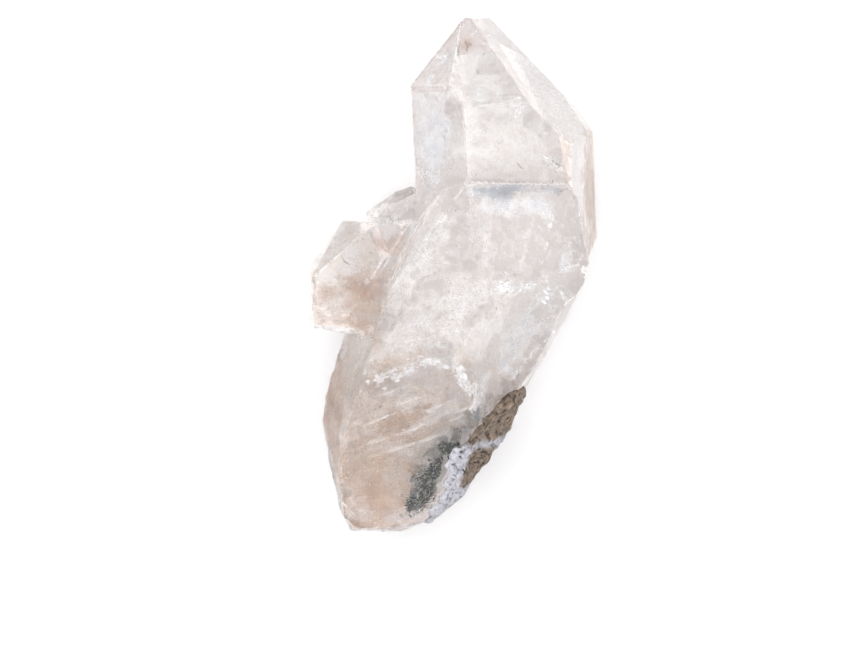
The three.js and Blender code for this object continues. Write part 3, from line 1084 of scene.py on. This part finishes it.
class QUARTZ_OT_cracks(bpy.types.Operator):
    """Build the white and grey cracks under the front and the fine chips along the edges"""

    bl_idname = "quartz.cracks"
    bl_label = "Cracks and chips"

    def execute(self, context):
        tree = skin()
        # Air in a crack throws all the light back, so it looks white.
        white = flake_material("air_filled_crack", "#F3F3F5", "#FFFFFF", 2.0, {"Roughness": 0.25})
        glints = scattered_flakes(tree, seed=31, tries=settings().glints, slivers=0.3)
        place(joined("white_cracks", flash_flakes(tree) + glints), white)
        # Painted shade: grey slivers stand in for fine cracks that turn their edge to the eye and throw no
        # light back.
        grey = flake_material("shadowed_crack", "#8B8683", "#ADA8A5", 2.0,
                              {"Roughness": 0.5, "IOR": IOR_IN_QUARTZ})
        hairs = scattered_flakes(tree, seed=67, tries=settings().hairs, slivers=0.8)
        place(joined("grey_cracks", hairs), grey)
        # Knocks have crushed the quartz along its edges to a fine white line, which is also a painted
        # highlight for the light that the edges catch.
        chips = flake_material("crushed_edge_and_highlight", "#F1EEEC", "#FFFFFF", 2.0,
                               {"Roughness": 0.5, "Alpha": 0.6})
        place(joined("worn_edges_and_highlight", edge_flakes(tree)), chips)
        return {"FINISHED"}


class QUARTZ_OT_moss(bpy.types.Operator):
    """Build the chlorite moss and its pale fibres inside the root"""

    bl_idname = "quartz.moss"
    bl_label = "Chlorite moss"

    def execute(self, context):
        tree = skin()
        # Chlorite grows as soft green-black scales. It bends light almost as quartz does, so it has no
        # shine inside the quartz.
        green = flake_material("chlorite_scales", "#0A120A", "#28351F", 2.5,
                               {"Roughness": 0.6, "IOR": IOR_IN_QUARTZ})
        place(joined("chlorite_moss", moss_flakes(tree)), green)
        # Hair-thin amphibole grew among the scales, pale with a silky shine.
        pale = flake_material("fibrous_amphibole", "#C9CBC2", "#F2F1EC", 1.5, {"Roughness": 0.45})
        place(joined("pale_fibres", moss_threads(tree)), pale)
        return {"FINISHED"}


class QUARTZ_OT_flecks(bpy.types.Operator):
    """Build the dark flecks and fine marks inside the quartz"""

    bl_idname = "quartz.flecks"
    bl_label = "Dark flecks"

    def execute(self, context):
        # Specks of iron oxide and rock dust, dull and brown.
        brown = flake_material("iron_oxide_specks", "#4A4440", "#857A72", 1.0, {"Roughness": 0.55})
        place(joined("dark_flecks", dark_flecks(skin())), brown)
        return {"FINISHED"}


class QUARTZ_OT_crust(bpy.types.Operator):
    """Build the host rock on the broken flank"""

    bl_idname = "quartz.crust"
    bl_label = "Host rock"

    def execute(self, context):
        piece = bpy.data.objects.new("host_rock", crust_surface(skin()))
        place(piece, host_rock())
        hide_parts("matrix_crust")
        return {"FINISHED"}


class QUARTZ_OT_stage(bpy.types.Operator):
    """Set up the pale floor, the soft light and the camera"""

    bl_idname = "quartz.stage"
    bl_label = "Stage"

    def execute(self, context):
        s = settings()
        scene = context.scene
        paper_floor()
        soft_room()
        soft_lamp("key", (-0.55, 0.45, 0.95), size=0.7, power=4.5)
        soft_lamp("fill", (0.8, -0.1, 0.7), size=0.5, power=1.0)
        camera = bpy.data.objects.new("camera", bpy.data.cameras.new("camera"))
        camera.data.lens = s.lens
        camera.data.sensor_width = 36
        camera.location = s.camera_place
        scene.collection.objects.link(camera)
        scene.camera = camera
        scene.view_settings.view_transform = "Standard"
        scene.cycles.max_bounces = 18
        scene.cycles.transmission_bounces = 16
        scene.cycles.transparent_max_bounces = 40
        return {"FINISHED"}


class QUARTZ_PT_panel(bpy.types.Panel):
    """Lists the pieces of the cluster"""

    bl_label = "Quartz cluster"
    bl_idname = "QUARTZ_PT_panel"
    bl_space_type = "VIEW_3D"
    bl_region_type = "UI"
    bl_category = "Quartz"

    def draw(self, context):
        for operator in OPERATORS:
            self.layout.operator(operator.bl_idname)
        for name in QuartzClusterSettings.__annotations__:
            self.layout.prop(context.scene.quartz_cluster, name)


OPERATORS = (QUARTZ_OT_cluster, QUARTZ_OT_crust, QUARTZ_OT_veils, QUARTZ_OT_cracks, QUARTZ_OT_moss,
             QUARTZ_OT_flecks, QUARTZ_OT_stage)
CLASSES = (QuartzClusterSettings,) + OPERATORS + (QUARTZ_PT_panel,)


def register():
    """Add the settings, the operators and the panel."""
    for cls in CLASSES:
        bpy.utils.register_class(cls)
    bpy.types.Scene.quartz_cluster = PointerProperty(type=QuartzClusterSettings)


def unregister():
    """Take them away again."""
    del bpy.types.Scene.quartz_cluster
    for cls in reversed(CLASSES):
        bpy.utils.unregister_class(cls)


def main():
    register()
    bpy.ops.quartz.cluster()
    bpy.ops.quartz.crust()
    bpy.ops.quartz.veils()
    bpy.ops.quartz.cracks()
    bpy.ops.quartz.moss()
    bpy.ops.quartz.flecks()
    bpy.ops.quartz.stage()
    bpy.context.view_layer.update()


if __name__ == "__main__":
    main()
